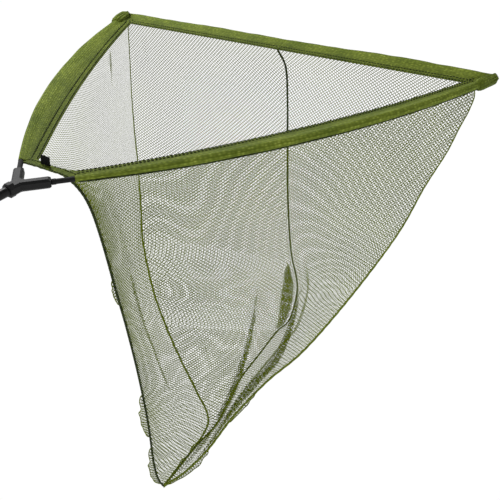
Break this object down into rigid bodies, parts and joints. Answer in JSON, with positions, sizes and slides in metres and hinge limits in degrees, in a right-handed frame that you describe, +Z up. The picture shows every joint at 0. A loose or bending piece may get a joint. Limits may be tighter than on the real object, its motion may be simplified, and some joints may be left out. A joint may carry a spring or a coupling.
{
  "type": "landing net",
  "caption": "Triangular landing net with bowed arms in a Y spreader, a deep mesh bag in fabric sleeves and a two-section telescopic handle.",
  "frame": {"origin": "on the handle's axis, in the middle of the grip, 300 mm ahead of the butt end", "axes": "+X along the handle towards the net, +Y to the net's left, +Z up, with the rim in the XY plane and the bag hanging below it"},
  "size_m": [2.6061, 0.9458, 0.9214],
  "materials": {
    "nylon": "satin moulded",
    "brass": "machined",
    "rubber": "matt",
    "glass_fibre": "satin",
    "cord": "braided",
    "sleeve_cloth": "woven",
    "mesh": "knotless mesh",
    "seam": "bound and stitched",
    "label": "woven",
    "tube": "satin lacquer",
    "collar": "satin"
  },
  "bodies": {
    "head": {"spreader_block": "nylon", "spreader_stud": "brass", "front_cord": "cord", "sleeve_front": "sleeve_cloth", "rear_hem": "sleeve_cloth", "label_tag": "label", "net_left": "mesh", "net_right": "mesh", "net_front_left": "mesh", "net_front_right": "mesh", "rear_seam": "seam", "corner_seam_left": "seam", "corner_seam_right": "seam", "centre_seam": "seam"},
    "left_arm": {"arm_left": "glass_fibre", "arm_tip_left": "nylon", "sleeve_left": "sleeve_cloth"},
    "right_arm": {"arm_right": "glass_fibre", "arm_tip_right": "nylon", "sleeve_right": "sleeve_cloth"},
    "lock_washer": {"stud_washer": "rubber"},
    "tip_section": {"handle_tip_section": "tube", "handle_ferrule": "collar", "handle_tip_bush": "nylon"},
    "butt_section": {"handle_butt_section": "tube", "handle_collar": "collar", "handle_butt_cap": "rubber"}
  },
  "joints": [
    {"name": "left_arm_pull", "type": "slide", "parent": "head", "child": "left_arm", "axis": [0.7193, 0.6947, 0], "range_m": [0, 0.0385]},
    {"name": "right_arm_pull", "type": "slide", "parent": "head", "child": "right_arm", "axis": [0.7193, -0.6947, 0], "range_m": [0, 0.0385]},
    {"name": "unscrew_travel", "type": "slide", "parent": "head", "child": "lock_washer", "axis": [1, 0, 0], "range_m": [-0.01524, 0]},
    {"name": "handle_turn", "type": "hinge", "parent": "lock_washer", "child": "tip_section", "pos_m": [1.5, 0, 0], "axis": [1, 0, 0], "range_deg": [-4320, 0]},
    {"name": "telescope", "type": "slide", "parent": "tip_section", "child": "butt_section", "axis": [1, 0, 0], "range_m": [0, 0.84]}
  ],
  "couplings": [
    {"joint": "unscrew_travel", "follows": "handle_turn", "m_per_rad": 0.00020213}
  ]
}
